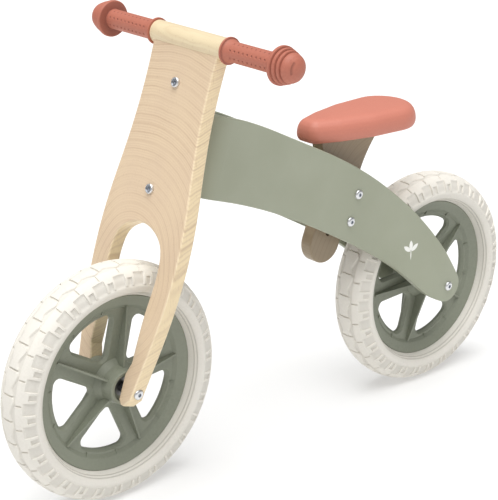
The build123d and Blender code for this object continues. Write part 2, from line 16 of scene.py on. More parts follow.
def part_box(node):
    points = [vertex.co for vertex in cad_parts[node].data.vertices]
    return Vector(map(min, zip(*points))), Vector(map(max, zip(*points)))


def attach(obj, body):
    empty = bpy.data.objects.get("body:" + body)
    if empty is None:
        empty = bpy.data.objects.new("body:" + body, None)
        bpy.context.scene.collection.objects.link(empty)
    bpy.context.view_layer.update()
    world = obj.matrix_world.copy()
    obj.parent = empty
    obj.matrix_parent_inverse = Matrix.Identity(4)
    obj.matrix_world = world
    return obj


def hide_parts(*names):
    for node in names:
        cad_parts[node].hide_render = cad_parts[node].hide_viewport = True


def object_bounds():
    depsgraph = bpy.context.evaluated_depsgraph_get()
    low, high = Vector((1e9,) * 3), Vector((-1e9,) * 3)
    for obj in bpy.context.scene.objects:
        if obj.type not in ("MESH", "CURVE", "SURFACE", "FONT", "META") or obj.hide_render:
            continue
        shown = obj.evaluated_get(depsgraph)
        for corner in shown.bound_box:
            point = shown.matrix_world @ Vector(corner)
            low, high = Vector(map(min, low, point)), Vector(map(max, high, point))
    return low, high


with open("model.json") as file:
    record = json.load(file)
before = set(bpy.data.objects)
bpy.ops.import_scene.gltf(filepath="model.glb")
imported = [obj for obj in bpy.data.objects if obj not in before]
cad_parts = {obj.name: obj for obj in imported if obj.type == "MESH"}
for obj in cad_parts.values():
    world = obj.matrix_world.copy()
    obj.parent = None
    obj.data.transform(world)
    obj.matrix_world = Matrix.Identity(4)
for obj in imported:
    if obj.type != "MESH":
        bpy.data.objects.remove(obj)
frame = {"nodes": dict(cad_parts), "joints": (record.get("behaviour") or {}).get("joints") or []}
cad_low, cad_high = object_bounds()
joints = {joint["name"]: joint for joint in frame["joints"]}
MM = 0.001
print("bike is", [round(size, 3) for size in cad_high - cad_low], "m long, wide and high")

# %% [markdown]
# ## Camera, floor and light
# A bike is best seen through a long lens, so that the near and far wheel look alike in
# size. The camera could be aimed by a constraint. Working out its matrix from two angles
# and a distance is plainer, and leaves nothing live in the file.


# %% Camera
def aim(place, target, roll=0.0):
    """A matrix at place, its -Z towards the target, turned by roll about its own axis."""
    turn = (target - place).to_track_quat("-Z", "Y").to_matrix().to_4x4()
    return Matrix.Translation(place) @ turn @ Matrix.Rotation(roll, 4, "Z")


CAMERA_AZIMUTH, CAMERA_ELEVATION = np.radians((47.779, 20.292))
CAMERA_DISTANCE, CAMERA_ROLL = 2.0439, np.radians(0.802)
look_at = Vector((0.04844, 0.0, 0.25505))
towards_camera = Vector((
    np.cos(CAMERA_AZIMUTH) * np.cos(CAMERA_ELEVATION),
    np.sin(CAMERA_AZIMUTH) * np.cos(CAMERA_ELEVATION),
    np.sin(CAMERA_ELEVATION),
))
camera = bpy.data.objects.new("camera", bpy.data.cameras.new("camera"))
camera.data.lens, camera.data.sensor_width = 120.5, 36.0
camera.matrix_world = aim(look_at + towards_camera * CAMERA_DISTANCE, look_at, CAMERA_ROLL)
bpy.context.scene.collection.objects.link(camera)
bpy.context.scene.camera = camera
print("camera stands at", [round(c, 3) for c in camera.location])

# %% [markdown]
# A white studio has most of its light overhead, and the floor throws some of it back at
# the underside. Large panels could light it, but a panel fades with distance and the far
# floor turns grey. A sun with a wide disc gives the same soft shadow and lights the floor
# evenly. Two panels add the gloss on the front and side. The view transform is Standard,
# so that a white floor comes out white.


# %% Light
def hang(light, place, target):
    """Put a light at place, facing the target."""
    lamp = bpy.data.objects.new(light.name, light)
    lamp.matrix_world = aim(Vector(place), Vector(target))
    bpy.context.scene.collection.objects.link(lamp)


def softbox(name, place, size, watts):
    """A square area light of the given side at place, facing the bike."""
    light = bpy.data.lights.new(name, "AREA")
    light.size, light.energy = size, watts
    hang(light, place, middle)


SUN_STRENGTH, SUN_ANGLE, SUN_OFFSET = 3.45, float(np.radians(60.0)), (0.42, 0.3, 2.6)
SKY_STRENGTH = 0.3
middle = (cad_low + cad_high) / 2
overhead = bpy.data.lights.new("overhead", "SUN")
overhead.energy, overhead.angle = SUN_STRENGTH, SUN_ANGLE
hang(overhead, middle + Vector(SUN_OFFSET), middle)
softbox("front", (2.8, 0.2, 1.3), 1.8, 3.0)
softbox("beside", (0.2, 3.0, 1.2), 1.8, 2.5)
world = bpy.data.worlds.new("studio")
world.use_nodes = True
world.node_tree.nodes["Background"].inputs["Color"].default_value = (1.0, 1.0, 1.0, 1.0)
world.node_tree.nodes["Background"].inputs["Strength"].default_value = SKY_STRENGTH
bpy.context.scene.world = world
bpy.context.scene.view_settings.view_transform = "Standard"
print("one wide sun, two softboxes and an even sky")

# %% [markdown]
# ## How a finish is written
# Every finish is a small node tree that ends in one Principled shader. Two helpers keep
# them short: one adds a node and wires its inputs, the other starts a material. Patterns
# read the Object coordinates, which are the bike's own metres.


# %% Material helpers
def srgb(red, green, blue):
    """A linear colour from the usual 0 to 255 values."""
    value = np.array((red, green, blue)) / 255
    linear = np.where(value > 0.04045, ((value + 0.055) / 1.055) ** 2.4, value / 12.92)
    return (*linear.tolist(), 1.0)


def add_node(tree, kind, inputs=None, **settings):
    """A new shader node. An input given a socket is linked to it, and any other is set."""
    made = tree.nodes.new("ShaderNode" + kind)
    for name, value in settings.items():
        setattr(made, name, value)
    for name, value in (inputs or {}).items():
        if isinstance(value, bpy.types.NodeSocket):
            tree.links.new(value, made.inputs[name])
        else:
            made.inputs[name].default_value = value
    return made


def start_material(name, **sockets):
    """A material with one Principled shader, its plain sockets set."""
    material = bpy.data.materials.new(name)
    material.use_nodes = True
    tree = material.node_tree
    shader = tree.nodes["Principled BSDF"]
    for socket, value in sockets.items():
        shader.inputs[socket.replace("_", " ")].default_value = value
    return material, tree, shader


def object_point(tree, turn=(0, 0, 0), stretch=(1, 1, 1), shift=(0, 0, 0)):
    """Object coordinates, moved, then turned, then scaled."""
    place = add_node(tree, "TexCoord").outputs["Object"]
    moved = add_node(tree, "VectorMath", {0: place, 1: shift}, operation="SUBTRACT")
    turned = add_node(tree, "VectorRotate", {"Vector": moved.outputs[0], "Rotation": turn},
                      rotation_type="EULER_XYZ")
    return add_node(tree, "VectorMath", {0: turned.outputs[0], 1: stretch},
                    operation="MULTIPLY").outputs[0]


def calc(tree, operation, *values):
    """One Math node on one to three values."""
    return add_node(tree, "Math", dict(enumerate(values)), operation=operation).outputs[0]


def noise(tree, point, scale, detail=3.0):
    """A noise pattern of about 1 / scale metres."""
    return add_node(tree, "TexNoise", {"Vector": point, "Scale": scale, "Detail": detail}
                    ).outputs["Fac"]


def spread(tree, value, low, high, to_low=0.0, to_high=1.0):
    """Rescale a value from low..high to to_low..to_high, and clamp it."""
    return add_node(tree, "MapRange", {0: value, 1: low, 2: high, 3: to_low, 4: to_high}
                    ).outputs[0]


def blend_colour(tree, share, first, second):
    """Mix two colours, each a colour or a socket, by a share from 0 to 1."""
    made = add_node(tree, "Mix", {0: share}, data_type="RGBA")
    for index, colour in ((6, first), (7, second)):
        if isinstance(colour, bpy.types.NodeSocket):
            tree.links.new(colour, made.inputs[index])
        else:
            made.inputs[index].default_value = colour
    return made.outputs[2]


def finish_with(tree, shader, colour=None, roughness=None, height=None, depth=0.0002):
    """Link colour, roughness and a bump of the given depth in metres to the shader."""
    if colour is not None:
        tree.links.new(colour, shader.inputs["Base Color"])
    if roughness is not None:
        tree.links.new(roughness, shader.inputs["Roughness"])
    if height is not None:
        bump = add_node(tree, "Bump", {"Height": height, "Distance": depth, "Strength": 1.0})
        tree.links.new(bump.outputs[0], shader.inputs["Normal"])


print("material helpers ready")

# %% [markdown]
# ## Beech
# Beech has a pale tan ground, fine growth lines and short brown flecks. A wood grain could
# be painted on, but rings worked out in space run on round the edges, as they do in a
# sawn board. The rings are nearly round shells about an axis that goes through the board
# at the top of its arch, so the face shows nested arches and the edges short slanting
# lines. The lines are thin and close to the ground's own colour.


# %% Beech finish
def growth_lines(tree, reach, pitch, thin):
    """1 on thin lines where the reach from the rings' axis is a multiple of the pitch."""
    share = calc(tree, "FRACT", calc(tree, "DIVIDE", reach, pitch))
    edge = calc(tree, "ABSOLUTE", calc(tree, "SUBTRACT", share, 0.5))
    return spread(tree, edge, 0.5 - thin, 0.5)


WIDE_PITCH, WIDE_SHARE, WIDE_WEIGHT = 7.9 * MM, 0.16, 0.42    # the strong growth lines
FINE_PITCH, FINE_SHARE, FINE_WEIGHT = 2.3 * MM, 0.30, 0.34    # the faint ones between them


def beech_ground(tree, pale, tan, face):
    """The colour under the lines: tan with pale clouds. With a face direction it is tan
    on the surfaces that face that way, painted pale as if lit elsewhere, and given a painted
    highlight, lightest of all, on the edge between."""
    ground = tan
    if face is not None:
        # Painted light: the board's side faces are painted pale as if lit, and its edges get a
        # painted highlight.
        normal = add_node(tree, "TexCoord").outputs["Normal"]
        facing = add_node(tree, "VectorMath", {0: normal, 1: face}, operation="DOT_PRODUCT")
        share = spread(tree, calc(tree, "ABSOLUTE", facing.outputs["Value"]), 0.3, 0.97)
        painted_arris_highlight = calc(tree, "MULTIPLY", share, calc(tree, "SUBTRACT", 1.0, share))
        ground = blend_colour(tree, share, pale, tan)
        ground = blend_colour(tree, calc(tree, "MULTIPLY", painted_arris_highlight, 2.4), ground,
                              srgb(247, 231, 198))
    cloudy = spread(tree, noise(tree, object_point(tree), 22.0), 0.3, 0.75, 0.0, 0.25)
    return blend_colour(tree, cloudy, ground, pale)


def make_beech(name, pale, tan, line, turn, ring_centre, ring_squash, face=None):
    """Growth lines about the turned x axis, on a clouded ground with fine flecks."""
    material, tree, shader = start_material(name, Coat_Weight=0.1, Coat_Roughness=0.35)
    point = object_point(tree, turn, ring_squash, ring_centre)
    parts = add_node(tree, "SeparateXYZ", {0: point})
    flat = calc(tree, "SQRT", calc(tree, "ADD", calc(tree, "POWER", parts.outputs[1], 2.0),
                                   calc(tree, "POWER", parts.outputs[2], 2.0)))
    drift = spread(tree, noise(tree, point, 7.0, 1.5), 0.0, 1.0, -0.012, 0.012)
    ripple = spread(tree, noise(tree, point, 60.0, 2.0), 0.0, 1.0, -0.0009, 0.0009)
    reach = calc(tree, "ADD", calc(tree, "ADD", flat, drift), ripple)
    wide = growth_lines(tree, reach, WIDE_PITCH, WIDE_SHARE)
    fine = growth_lines(tree, reach, FINE_PITCH, FINE_SHARE)
    patchy = spread(tree, noise(tree, point, 16.0), 0.35, 0.65, 0.35, 1.0)
    both = calc(tree, "ADD", calc(tree, "MULTIPLY", wide, WIDE_WEIGHT),
                calc(tree, "MULTIPLY", fine, FINE_WEIGHT))
    rings = calc(tree, "MULTIPLY", both, patchy)
    flecks = spread(tree, noise(tree, object_point(tree, turn, (900, 900, 160)), 1.0, 1.0),
                    0.62, 0.75, 0.0, 0.2)
    colour = blend_colour(tree, rings, beech_ground(tree, pale, tan, face), line)
    colour = blend_colour(tree, flecks, colour, srgb(160, 124, 92))
    height = calc(tree, "ADD", fine, flecks)
    finish_with(tree, shader, colour, spread(tree, flecks, 0, 0.2, 0.44, 0.56), height, 0.00003)
    return material


RAKE = np.arctan2(-joints["steering_turn"]["axis"][0], joints["steering_turn"]["axis"][2])
board_low, board_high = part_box("fork_board")
board_face = (float(np.cos(RAKE)), 0.0, float(np.sin(RAKE)))
arch_centre = board_low + (board_high - board_low) * 0.42
board_beech = make_beech(
    "beech_board", srgb(240, 219, 180), srgb(220, 196, 167), srgb(192, 162, 132),
    (0.0, -RAKE + 0.16, 0.0), (arch_centre.x, -0.012, arch_centre.z - 0.02),
    (1.0, 0.9, 0.85), board_face,
)
bar_beech = make_beech(
    "beech_bar", srgb(236, 222, 186), srgb(228, 210, 174), srgb(206, 180, 144),
    (0.0, 0.0, 1.52), (0.1, 0.0, 0.49), (1.0, 1.0, 1.0),
)
# The seat post's beech is painted darker than the rest: painted shade from the seat and the frame
# panels around it.
shaded_beech = make_beech(
    "beech_post_painted_shade", srgb(166, 148, 121), srgb(150, 133, 108), srgb(128, 108, 84),
    (0.0, 0.4, 1.5), (-0.1, 0.02, 0.2), (1.0, 1.0, 0.4),
)
print("beech rings lean back by", round(float(np.degrees(RAKE)), 1), "degrees")

# %% [markdown]
# ## Sage paint
# The frame is sprayed plywood: an even grey-green with a faint orange-peel texture and
# softly clouded gloss. A white printed sprig sits near the tail. It could be a separate
# decal, but a print has no thickness, so it is part of the paint: three leaves on a stem,
# each leaf the overlap of two discs.


# %% Sage finish with its printed sprig
def leaf_mask(tree, across, up, centre, angle, length, width):
    """1 inside a leaf: the overlap of two equal discs whose centres lie across its axis."""
    cos, sin = float(np.cos(angle)), float(np.sin(angle))
    x = calc(tree, "SUBTRACT", across, centre[0])
    y = calc(tree, "SUBTRACT", up, centre[1])
    along = calc(tree, "ADD", calc(tree, "MULTIPLY", x, cos), calc(tree, "MULTIPLY", y, sin))
    beside = calc(tree, "SUBTRACT", calc(tree, "MULTIPLY", y, cos),
                  calc(tree, "MULTIPLY", x, sin))
    offset = (length ** 2 - width ** 2) / (4 * width)
    radius = offset + width / 2
    beside = calc(tree, "ADD", calc(tree, "ABSOLUTE", beside), offset)
    reach = calc(tree, "SQRT", calc(tree, "ADD", calc(tree, "POWER", along, 2.0),
                                    calc(tree, "POWER", beside, 2.0)))
    return spread(tree, reach, radius - 0.0002, radius + 0.0002, 1.0, 0.0)


def make_sage_paint(sprig_place, sprig_size):
    """Sage paint, with three white leaves printed on the left side at sprig_place."""
    material, tree, shader = start_material("sage_paint", Coat_Weight=0.08,
                                            Coat_Roughness=0.3)
    point = object_point(tree)
    cloud = noise(tree, point, 16.0, 4.0)
    colour = blend_colour(tree, spread(tree, cloud, 0.3, 0.7), srgb(155, 159, 138),
                          srgb(162, 166, 146))
    parts = add_node(tree, "SeparateXYZ", {0: point})
    across, side, up = (parts.outputs[name] for name in "XYZ")
    print_mask = 0.0
    for angle in np.radians((38.0, 90.0, 142.0)):
        reach = sprig_size * 0.52
        centre = (sprig_place[0] + reach * np.cos(angle) * 0.9,
                  sprig_place[1] - sprig_size * 0.32 + reach * np.sin(angle))
        leaf = leaf_mask(tree, across, up, centre, angle, sprig_size * 0.82, sprig_size * 0.34)
        print_mask = calc(tree, "MAXIMUM", print_mask, leaf)
    stem = leaf_mask(tree, across, up, (sprig_place[0], sprig_place[1] - sprig_size * 0.55),
                     np.radians(90.0), sprig_size * 0.8, sprig_size * 0.09)
    print_mask = calc(tree, "MAXIMUM", print_mask, stem)
    on_left = spread(tree, side, 0.03, 0.031)
    print_mask = calc(tree, "MULTIPLY", print_mask, on_left)
    colour = blend_colour(tree, print_mask, colour, srgb(244, 244, 238))
    peel = noise(tree, point, 420.0, 2.0)
    finish_with(tree, shader, colour, spread(tree, cloud, 0.3, 0.7, 0.44, 0.52), peel, 0.00005)
    return material


SPRIG_FROM_TAIL, SPRIG_HEIGHT, SPRIG_SIZE = 91.6 * MM, 213.2 * MM, 17.2 * MM
sprig = (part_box("bent_frame")[0].x + SPRIG_FROM_TAIL, SPRIG_HEIGHT)
sage_paint = make_sage_paint(sprig, SPRIG_SIZE)
print("sprig printed at", [round(c, 3) for c in sprig])

# %% [markdown]
# ## Moulded and metal finishes
# Rubber, foam and plastic share one recipe with different numbers: a fine grain, slow
# changes of tone, and painted shade that darkens every hollow. The hollows could be found by an
# occlusion node, but the remade pieces know their own, and carry how far each point is
# sunk as an attribute.


# %% Moulded and metal finishes
def paint_hollow_shade(tree, colour, deep, most):
    """Painted shade: blend towards the deep colour as the piece's sunk attribute goes from 0 to 1.
    """
    sunk = add_node(tree, "Attribute", attribute_name="sunk").outputs["Fac"]
    return blend_colour(tree, spread(tree, sunk, 0.1, 1.0, 0.0, most), colour, deep)


def make_moulded(name, base, deep, roughness, grain, grain_depth, hollow=0.6, **sockets):
    """Moulded plastic or rubber: a fine leathery grain, slow changes of tone, and painted shade in
    its hollows.
    """
    material, tree, shader = start_material(name, **sockets)
    point = object_point(tree)
    tone = spread(tree, noise(tree, point, 18.0, 4.0), 0.3, 0.7)
    speck = spread(tree, noise(tree, point, grain * 0.5, 2.0), 0.35, 0.75, 0.0, 0.5)
    colour = blend_colour(tree, calc(tree, "MULTIPLY", speck, tone), base, deep)
    colour = paint_hollow_shade(tree, colour, tuple(c * 0.55 for c in deep[:3]) + (1.0,), hollow)
    texture = noise(tree, point, grain, 2.0)
    rough = spread(tree, texture, 0.3, 0.7, roughness - 0.05, roughness + 0.07)
    finish_with(tree, shader, colour, rough, texture, grain_depth)
    return material


def make_metal(name, base, roughness):
    """Plated steel with faint turning marks, and painted blue-grey shade in the sunk cup and
    socket.
    """
    material, tree, shader = start_material(name, Metallic=1.0)
    point = object_point(tree)
    marks = noise(tree, point, 900.0, 2.0)
    colour = blend_colour(tree, marks, base, tuple(c * 0.8 for c in base[:3]) + (1.0,))
    colour = paint_hollow_shade(tree, colour, srgb(128, 136, 148), 0.75)
    finish_with(tree, shader, colour,
                spread(tree, marks, 0.2, 0.8, roughness - 0.06, roughness + 0.08), marks, 0.00001)
    return material


sage_plastic = make_moulded("sage_plastic", srgb(136, 140, 124), srgb(119, 123, 108), 0.5,
                            600.0, 0.00005)
coral_rubber = make_moulded("coral_rubber", srgb(184, 111, 91), srgb(168, 97, 79), 0.58,
                            900.0, 0.00008, 0.9)
coral_skin = make_moulded("coral_skin", srgb(203, 127, 108), srgb(192, 117, 99), 0.52,
                          1100.0, 0.00005)
cream_foam = make_moulded("cream_foam", srgb(230, 226, 217), srgb(214, 209, 199), 0.62,
                          800.0, 0.00007, 0.45)
dark_nylon = make_moulded("dark_nylon", srgb(42, 42, 44), srgb(30, 30, 32), 0.5, 700.0, 0.00004)
bright_steel = make_metal("bright_steel", srgb(232, 233, 235), 0.36)
plain_steel = make_metal("plain_steel", srgb(170, 170, 172), 0.38)
print("moulded and metal finishes ready")

# %% Give every part that keeps its shape its finish
finishes = {
    board_beech: ["fork_board"],
    bar_beech: ["handlebar", "handlebar_pins", "upper_steering_arm", "lower_steering_arm",
                "seat_base"],
    shaded_beech: ["seat_post"],
    sage_paint: ["bent_frame", "head_block"],
    sage_plastic: ["front_rim", "rear_rim"],
    dark_nylon: ["steering_washer", "steering_bushes", "post_spacers", "front_spacers",
                 "rear_spacers"],
    plain_steel: ["steering_pin", "pin_caps", "barrel_nuts", "front_axle", "rear_axle",
                  "front_bearings", "rear_bearings", "seat_screws"],
    bright_steel: ["connector_bolts", "seat_bolts", "seat_nuts", "front_axle_bolts",
                   "rear_axle_bolts"],
    coral_rubber: ["left_grip", "right_grip"],
    coral_skin: ["seat_pad"],
    cream_foam: ["front_tyre", "rear_tyre"],
}
for finish, names in finishes.items():
    for name in names:
        mesh = frame["nodes"][name].data
        mesh.materials.clear()
        mesh.materials.append(finish)
print(sum(map(len, finishes.values())), "parts have a finish")

# %% [markdown]
# ## Building surfaces from grids
# Each remade piece is a grid of points worked out as whole arrays. A row of the grid is a
# closed ring, so a piece is a tube that ends in a point at each end, or joins up with its
# own start.


# %% Grid helper
CRISP_EDGE = float(np.radians(38.0))


def grid_piece(name, grids, finish, loop=False, sunk=None):
    """A mesh from arrays of rows of ring points: quads between neighbours.

    Each ring closes on itself. With loop the last row joins the first, and otherwise the
    rows at both ends are single points, which are merged. Sunk gives each point's depth."""
    points = np.concatenate([grid.reshape(-1, 3) for grid in grids])
    quads, start = [], 0
    for grid in grids:
        index = start + np.arange(grid.shape[0] * grid.shape[1]).reshape(grid.shape[:2])
        below = index if loop else index[:-1]
        above = np.roll(index, -1, 0) if loop else index[1:]
        quads.append(np.stack([below, np.roll(below, -1, 1), np.roll(above, -1, 1), above], -1))
        start += index.size
    mesh = bpy.data.meshes.new(name)
    mesh.from_pydata(points, [], np.concatenate([q.reshape(-1, 4) for q in quads]).tolist())
    # The sunk attribute is read by the finishes as painted shade: the deeper a point, the darker it
    # is painted.
    if sunk is not None:
        mesh.attributes.new("sunk", "FLOAT", "POINT").data.foreach_set("value", sunk.ravel())
    shape = bmesh.new()
    shape.from_mesh(mesh)
    bmesh.ops.remove_doubles(shape, verts=shape.verts, dist=1e-6)
    bmesh.ops.recalc_face_normals(shape, faces=shape.faces)
    shape.to_mesh(mesh)
    shape.free()
    mesh.shade_smooth()
    mesh.set_sharp_from_angle(angle=CRISP_EDGE)
    mesh.materials.append(finish)
    piece = bpy.data.objects.new(name, mesh)
    bpy.context.scene.collection.objects.link(piece)
    print(name, "has", len(mesh.polygons), "faces")
    return piece


def step(value, edge, width):
    """0 below the edge and 1 above it, with a straight ramp of the given width."""
    return np.clip((value - edge) / width + 0.5, 0.0, 1.0)


def between(value, low, high, width):
    """1 between low and high, with ramps of the given width at both."""
    return step(value, low, width) * (1.0 - step(value, high, width))


def rounded_profile(corners, radius, steps=4):
    """Replace each inner corner of a polyline by a quadratic curve that starts and ends a
    radius away from it, or less where its sides are short."""
    corners = np.array(corners, float)
    sides = np.diff(corners, axis=0)
    lengths = np.linalg.norm(sides, axis=1)
    units = sides / lengths[:, None]
    cut = np.minimum(radius, np.minimum(lengths[:-1], lengths[1:]) * 0.45)
    before = corners[1:-1] - units[:-1] * cut[:, None]
    after = corners[1:-1] + units[1:] * cut[:, None]
    t = np.linspace(0.0, 1.0, steps)[None, :, None]
    curves = ((1 - t) ** 2 * before[:, None] + 2 * t * (1 - t) * corners[1:-1, None]
              + t ** 2 * after[:, None])
    return np.vstack([corners[:1], curves.reshape(-1, 2), corners[-1:]])


print("surface helpers ready")

# %% [markdown]
# ## Foam tyres
# The tyre is one moulding with a shallow tread: U-shaped lugs on both shoulders, a block
# above each gap, and broken chevrons at the crown. It could be many small blocks laid on
# a ring. A single surface whose height changes with the two ring coordinates is cleaner,
# because the lugs then grow out of the tyre, as moulded ones do. Grid lines are put where
# the walls of the tread are, so that the walls come out crisp.


# %% Tyre surface
LUGS = 30
TREAD_DEPTH = 1.9 * MM
SECTION_R = 22.0 * MM       # radius of the section at the crown
SECTION_SWELL = 5.7 * MM    # how much wider than high the section is
BEAD_DEGREES = 140.0
WALL, BANK = 0.022, 2.2     # width of a tread wall, as a share of the pattern and in degrees
NOTCH, U_EDGE = 0.115, 0.235                # half widths of a U's notch and of the whole U
BLOCK_SLOT, CROWN_GAP = (0.58, 0.64), (0.88, 0.94)
SIDE_RINGS, RING_RAMP, RING_DEPTH = ((112.0, 115.0), (120.0, 123.0)), 0.8, 0.7 * MM
HALF_SECTION = np.concatenate([             # degrees from the crown, close at every wall
    np.linspace(0, 30, 16), [32, 34, 37, 42, 47, 50.9, 53.1, 54.9, 57.1, 62, 66.9, 69.1],
    [72, 77, 82, 86.9, 89.1, 93, 97, 101, 105, 109, 111.6, 112.4, 114.6, 115.4, 117.5],
    [119.6, 120.4, 122.6, 123.4, 127, 130, 133, 135, 137.5, BEAD_DEGREES],
])


def section_radius(around):
    """Distance from the section's centre: the crown radius, plus a sine squared swell,
    less a smooth pull-in below the widest place, towards the bead."""
    swell = SECTION_R + SECTION_SWELL * np.sin(around) ** 2
    past = np.clip((np.degrees(np.abs(around)) - 100.0) / (BEAD_DEGREES - 100.0), 0.0, 1.0)
    return swell - 4.0 * MM * past ** 2 * (3 - 2 * past)


def tread_height(turn, around):
    """Height of the tread, 0 to 1, from the place in the lug pattern (turn, 0 to 1, with
    the notch of a U at 0) and the angle round the section (around, degrees, 0 at the
    crown): the union of U-shaped lugs, blocks and chevron bars."""
    mid = np.abs((turn + 0.5) % 1.0 - 0.5)
    u_base = between(around, 56, 68, BANK) * (1 - step(mid, U_EDGE, WALL))
    u_legs = between(around, 56, 88, BANK) * between(mid, NOTCH, U_EDGE, WALL)
    band = between(around, 33, 57, BANK)
    slot = between(turn, *BLOCK_SLOT, WALL) * between(around, 33, 52, BANK)
    crown_edge = 15 + 15 * np.abs(((turn + 0.3) % 1.0) * 2 - 1)
    crown = 1 - step(around, crown_edge, BANK * 1.5)
    gap = between(turn, *CROWN_GAP, WALL)
    height = np.maximum(np.maximum(u_base, u_legs), band * (1 - 0.9 * slot))
    return np.maximum(height, crown * (1 - gap))


def make_tyre(name, node, first_lug):
    """A ring of sections. The section is an arc from bead to bead about its own centre,
    closed by a channel under the rim's flanges, and its radius has the tread taken off."""
    low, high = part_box(node)
    centre, outer = (low + high) / 2, (high.x - low.x) / 2
    cuts = [-U_EDGE, -NOTCH, NOTCH, U_EDGE, *BLOCK_SLOT, *CROWN_GAP]
    edges = [cut % 1.0 + side for cut in cuts for side in (-WALL / 2, WALL / 2)]
    turn = np.unique(np.concatenate([np.mod(edges, 1.0), [0.0, 0.3, 0.36, 0.42, 0.48, 0.72]]))
    turns = (np.arange(LUGS)[:, None] + turn).ravel()
    theta = np.radians(first_lug) + turns * 2 * np.pi / LUGS
    around = np.radians(np.concatenate([-HALF_SECTION[:0:-1], HALF_SECTION]))
    tilt, angle = np.meshgrid(np.abs(np.degrees(around)), turns % 1.0)
    lifted = tread_height(angle, tilt)
    tread_zone = 1 - step(tilt, 89.0, 6.0)
    sunk = (1 - lifted) * tread_zone * TREAD_DEPTH
    rings = sum(between(tilt, *ring, RING_RAMP) for ring in SIDE_RINGS)
    sunk = sunk + RING_DEPTH * rings
    radius = section_radius(around)[None] - sunk
    centre_r = outer - SECTION_R
    reach = centre_r + radius * np.cos(around)
    side = radius * np.sin(around)
    # tone is painted shade: the finish darkens the tread's hollows and the side rings by it.
    tone = 0.45 * (1 - lifted) * tread_zone + 0.9 * rings
    bead_r, bead_half = reach[0, 0], abs(side[0, 0])
    channel = np.array([(bead_r - 0.2 * MM, bead_half - 3.8 * MM),
                        (bead_r - 5.6 * MM, bead_half - 3.9 * MM)])
    low_r = np.concatenate([channel[:, 0], channel[::-1, 0]])
    low_y = np.concatenate([channel[:, 1], -channel[::-1, 1]])
    count = len(theta)
    reach = np.hstack([reach, np.tile(low_r, (count, 1))])
    side = np.hstack([side, np.tile(low_y, (count, 1))])
    tone = np.hstack([tone, np.zeros((count, 4))])
    points = np.stack([centre.x + reach * np.cos(theta)[:, None], centre.y + side,
                       centre.z + reach * np.sin(theta)[:, None]], -1)
    tyre = grid_piece(name, [points], cream_foam, loop=True, sunk=tone)
    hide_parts(node)
    return tyre


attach(make_tyre("front_foam_tyre", "front_tyre", -1.2), "front_wheel")
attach(make_tyre("rear_foam_tyre", "rear_tyre", 4.0), "rear_wheel")

# %% [markdown]
# ## Grips
# Each grip is a rubber sleeve: a flange against the wood, a tube with rows of small
# dimples, three stepped rings that protect the hand, and a dome with three short grooves.
# A lathe profile gives the body. The dimples could be cut with booleans, but lowering the
# radius inside small discs of the unrolled surface keeps the mesh a clean grid.


# %% Grip surface
DIMPLE_ROWS, DIMPLES, FIRST_DIMPLE = 8, 10, 13.5 * MM
DIMPLE_PITCH, DIMPLE_R, DIMPLE_DEPTH = 7.05 * MM, 1.55 * MM, 1.5 * MM
GRIP_POINTS, TUBE_ROWS = 144, 180           # points round the grip, rows along its tube
BORE_R, TUBE_R = 9.05, 11.75                # mm
GRIP_PROFILE = [                            # mm out from the wood, and radius
    (0.0, BORE_R), (0.0, 15.8), (2.4, 15.8), (2.8, 13.9), (6.0, 12.7), (11.0, TUBE_R),
    (83.4, TUBE_R), (83.8, 20.8), (84.8, 22.0), (88.2, 22.0), (88.8, 19.0), (89.6, 18.8),
    (90.0, 20.3), (93.6, 20.3), (94.2, 17.2), (95.2, 17.0), (95.6, 18.6), (99.0, 18.6),
    (99.6, 15.4), (100.6, 15.2), (101.0, 16.9), (103.6, 16.6), (107.6, 14.7), (110.8, 11.4),
    (112.9, 7.0), (113.8, 3.0), (113.9, 0.0),
]
GROOVES, GROOVE_WIDTH, GROOVE_DEPTH = (106.4, 108.8, 110.9), 0.45 * MM, 0.7 * MM
VALLEYS, VALLEY_WIDTH = (3.0, 83.3, 89.2, 94.7, 100.1), 0.7 * MM


def ridges(place, centres, width):
    """A sum of smooth bumps, 1 high, at centres in mm along the grip."""
    return sum(np.exp(-((place - centre * MM) / width) ** 2) for centre in centres)


def dimple_field(place, turn):
    """0 to 1 inside the round dimples of the tube, which stand in rows along it."""
    row = turn / (2 * np.pi) * DIMPLE_ROWS
    count = (place - FIRST_DIMPLE) / DIMPLE_PITCH
    from_x = (count - np.round(count)) * DIMPLE_PITCH
    from_row = (row - np.floor(row) - 0.5) * 2 * np.pi / DIMPLE_ROWS * TUBE_R * MM
    away = np.hypot(from_x, from_row) / DIMPLE_R
    inside = (np.round(count) >= 0) & (np.round(count) < DIMPLES) & (away < 1)
    return np.where(inside, 0.5 + 0.5 * np.cos(np.pi * np.minimum(away, 1)), 0.0) ** 0.7


